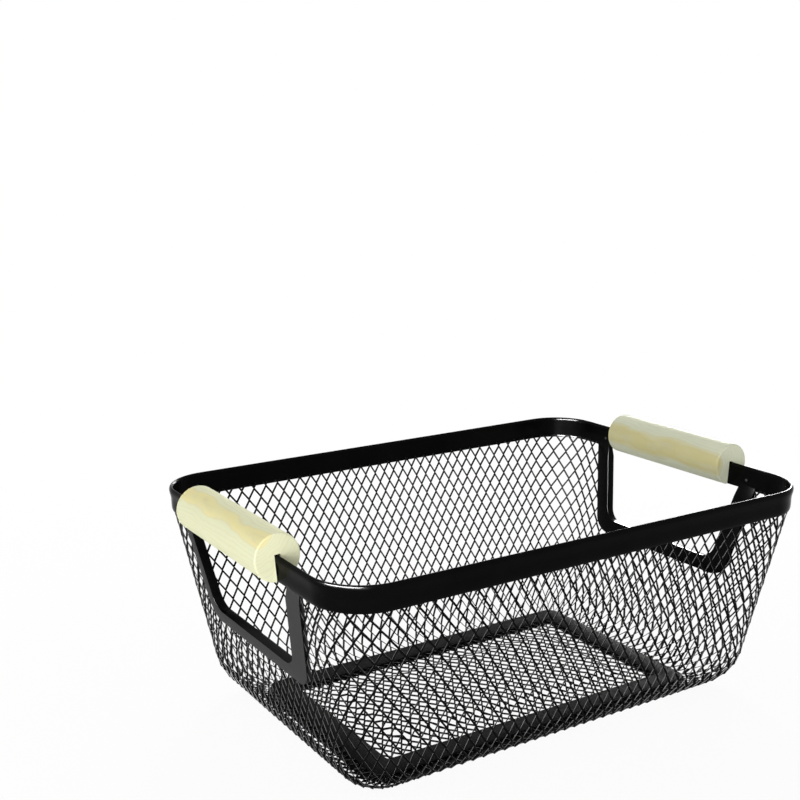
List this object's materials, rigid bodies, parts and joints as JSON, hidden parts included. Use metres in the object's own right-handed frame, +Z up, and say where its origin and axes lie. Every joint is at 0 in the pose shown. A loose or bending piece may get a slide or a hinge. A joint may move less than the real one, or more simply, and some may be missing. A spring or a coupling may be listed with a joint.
{
  "type": "wire basket",
  "caption": "Tapered rectangular storage basket of black expanded-metal mesh with a folded steel rim, framed hand openings in the ends and wooden grips on the rim",
  "frame": {"origin": "on the floor, under the middle of the basket", "axes": "+X along the basket's length, toward the right-hand grip; +Y across it, away from the viewer; +Z up"},
  "size_m": [0.3324, 0.2228, 0.138],
  "materials": {
    "rim_black": "semi-gloss black powder coat",
    "mesh_black": "semi-gloss black powder coat",
    "strip_black": "satin black powder coat",
    "frame_black": "satin black powder coat",
    "grip_wood": "pale sanded softwood with a thin clear coat"
  },
  "bodies": {
    "root": {"rim_band": "rim_black", "wall_mesh": "mesh_black", "base_mesh": "mesh_black", "base_strip_lower": "strip_black", "base_strip_upper": "strip_black", "window_frame_left": "frame_black", "window_frame_right": "frame_black", "grip_left": "grip_wood", "grip_right": "grip_wood"}
  },
  "joints": []
}
